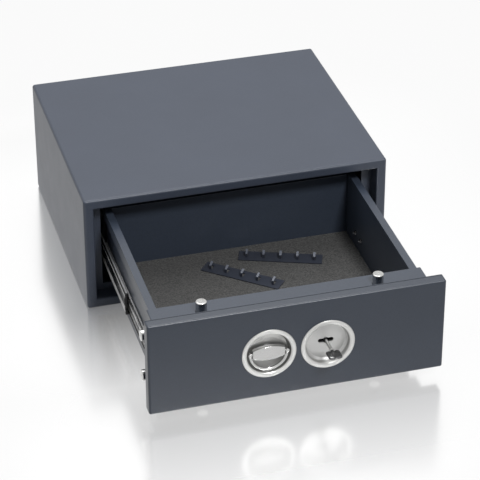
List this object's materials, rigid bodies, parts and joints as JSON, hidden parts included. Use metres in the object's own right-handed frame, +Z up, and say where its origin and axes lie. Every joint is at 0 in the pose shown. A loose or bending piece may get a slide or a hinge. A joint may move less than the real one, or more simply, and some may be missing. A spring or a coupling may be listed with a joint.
{
  "type": "drawer safe",
  "caption": "Flat steel safe with one full-width locking drawer on ball slides, a recessed turning handle, a key lock, and round bolts on every side of the drawer front.",
  "frame": {"origin": "centre of the cabinet's underside, on the surface that the safe stands on", "axes": "+Z up, +Y from the front into the cabinet, +X to the right seen from the front"},
  "size_m": [0.5, 0.784, 0.2],
  "materials": {
    "cabinet_paint": "fine textured powder coat, dark blue-grey",
    "drawer_paint": "fine textured powder coat, dark blue-grey",
    "strip_paint": "smooth dark blue paint",
    "chrome": "polished chrome plate",
    "zinc_steel": "bright zinc plate",
    "satin_nickel": "satin nickel plate",
    "key_steel": "nickel-plated steel, slightly worn",
    "carpet_pile": "short grey needle-felt carpet",
    "black_plastic": "moulded black plastic"
  },
  "bodies": {
    "cabinet": {"cabinet_shell": "cabinet_paint", "cabinet_back": "cabinet_paint", "front_frame": "cabinet_paint", "slide_bracket_left": "zinc_steel", "slide_bracket_right": "zinc_steel", "slide_outer_left": "zinc_steel", "slide_outer_right": "zinc_steel"},
    "middle_left": {"slide_middle_left": "zinc_steel", "slide_bumper_left": "black_plastic"},
    "middle_right": {"slide_middle_right": "zinc_steel", "slide_bumper_right": "black_plastic"},
    "cage_outer_left": {"ball_cage_outer_left": "zinc_steel"},
    "cage_outer_right": {"ball_cage_outer_right": "zinc_steel"},
    "cage_inner_left": {"ball_cage_inner_left": "zinc_steel"},
    "cage_inner_right": {"ball_cage_inner_right": "zinc_steel"},
    "drawer": {"front_cover": "cabinet_paint", "front_backing": "zinc_steel", "hard_plate": "zinc_steel", "lock_case": "cabinet_paint", "lock_cover": "cabinet_paint", "drawer_side_left": "drawer_paint", "drawer_side_right": "drawer_paint", "drawer_back": "drawer_paint", "drawer_floor": "drawer_paint", "carpet": "carpet_pile", "slide_inner_left": "zinc_steel", "slide_inner_right": "zinc_steel", "handle_rosette": "satin_nickel", "lock_rosette": "satin_nickel", "spindle_bush": "zinc_steel", "lock_body": "zinc_steel"},
    "handle": {"handle_vane": "satin_nickel", "handle_spindle": "zinc_steel", "spindle_clip": "zinc_steel", "bolt_cam": "zinc_steel", "locking_cam": "zinc_steel"},
    "bail": {"bail": "satin_nickel"},
    "upper_bolts": {"upper_carrier": "zinc_steel", "upper_bolt_left": "chrome", "upper_bolt_right": "chrome"},
    "lower_bolts": {"lower_carrier": "zinc_steel", "lower_bolt_left": "chrome", "lower_bolt_right": "chrome"},
    "left_bolts": {"left_carrier": "zinc_steel", "left_bolt_upper": "chrome", "left_bolt_lower": "chrome"},
    "right_bolts": {"right_carrier": "zinc_steel", "right_bolt_upper": "chrome", "right_bolt_lower": "chrome"},
    "lock_bolt": {"lock_bolt": "zinc_steel"},
    "lock_rotor": {"lock_rotor": "zinc_steel"},
    "key": {"key": "key_steel"},
    "strip_front": {"key_strip_front": "strip_paint"},
    "strip_rear": {"key_strip_rear": "strip_paint"}
  },
  "joints": [
    {"name": "drawer_slide", "type": "slide", "parent": "cabinet", "child": "drawer", "axis": [0, 1, 0], "range_m": [0, 0.336]},
    {"name": "middle_left_slide", "type": "slide", "parent": "cabinet", "child": "middle_left", "axis": [0, 1, 0], "range_m": [0, 0.185]},
    {"name": "middle_right_slide", "type": "slide", "parent": "cabinet", "child": "middle_right", "axis": [0, 1, 0], "range_m": [0, 0.185]},
    {"name": "cage_outer_left_slide", "type": "slide", "parent": "cabinet", "child": "cage_outer_left", "axis": [0, 1, 0], "range_m": [0, 0.0925]},
    {"name": "cage_outer_right_slide", "type": "slide", "parent": "cabinet", "child": "cage_outer_right", "axis": [0, 1, 0], "range_m": [0, 0.0925]},
    {"name": "cage_inner_left_slide", "type": "slide", "parent": "cabinet", "child": "cage_inner_left", "axis": [0, 1, 0], "range_m": [0, 0.2605]},
    {"name": "cage_inner_right_slide", "type": "slide", "parent": "cabinet", "child": "cage_inner_right", "axis": [0, 1, 0], "range_m": [0, 0.2605]},
    {"name": "handle_turn", "type": "hinge", "parent": "drawer", "child": "handle", "pos_m": [-0.0456, -0.5395, 0.0992], "axis": [0, 1, 0], "range_deg": [0, 90]},
    {"name": "bail_flip", "type": "hinge", "parent": "handle", "child": "bail", "pos_m": [-0.0456, -0.5369, 0.0992], "axis": [-1, 0, 0], "range_deg": [0, 90]},
    {"name": "upper_bolts_slide", "type": "slide", "parent": "drawer", "child": "upper_bolts", "axis": [0, 0, 1], "range_m": [-0.0156, 0]},
    {"name": "lower_bolts_slide", "type": "slide", "parent": "drawer", "child": "lower_bolts", "axis": [0, 0, 1], "range_m": [0, 0.0156]},
    {"name": "left_bolts_slide", "type": "slide", "parent": "drawer", "child": "left_bolts", "axis": [1, 0, 0], "range_m": [0, 0.01555]},
    {"name": "right_bolts_slide", "type": "slide", "parent": "drawer", "child": "right_bolts", "axis": [1, 0, 0], "range_m": [-0.0156, 0]},
    {"name": "key_turn", "type": "hinge", "parent": "drawer", "child": "lock_rotor", "pos_m": [0.0456, -0.5395, 0.0992], "axis": [0, 1, 0], "range_deg": [0, 180]},
    {"name": "lock_bolt_slide", "type": "slide", "parent": "drawer", "child": "lock_bolt", "axis": [1, 0, 0], "range_m": [-0.008, 0]},
    {"name": "key_withdraw", "type": "slide", "parent": "lock_rotor", "child": "key", "axis": [0, -1, 0], "range_m": [0, 0.08]},
    {"name": "strip_front_lift", "type": "slide", "parent": "drawer", "child": "strip_front", "axis": [0, 0, 1], "range_m": [0, 0.1]},
    {"name": "strip_rear_lift", "type": "slide", "parent": "drawer", "child": "strip_rear", "axis": [0, 0, 1], "range_m": [0, 0.1]}
  ],
  "couplings": [
    {"joint": "middle_left_slide", "follows": "drawer_slide", "ratio": 0.55},
    {"joint": "middle_right_slide", "follows": "drawer_slide", "ratio": 0.55},
    {"joint": "cage_outer_left_slide", "follows": "drawer_slide", "ratio": 0.275},
    {"joint": "cage_outer_right_slide", "follows": "drawer_slide", "ratio": 0.275},
    {"joint": "cage_inner_left_slide", "follows": "drawer_slide", "ratio": 0.775},
    {"joint": "cage_inner_right_slide", "follows": "drawer_slide", "ratio": 0.775},
    {"joint": "upper_bolts_slide", "follows": "left_bolts_slide", "ratio": -1},
    {"joint": "lower_bolts_slide", "follows": "left_bolts_slide", "ratio": 1},
    {"joint": "handle_turn", "follows": "left_bolts_slide", "rad_per_m": 101.01},
    {"joint": "right_bolts_slide", "follows": "left_bolts_slide", "ratio": -1},
    {"joint": "key_turn", "follows": "lock_bolt_slide", "rad_per_m": -392.69}
  ]
}
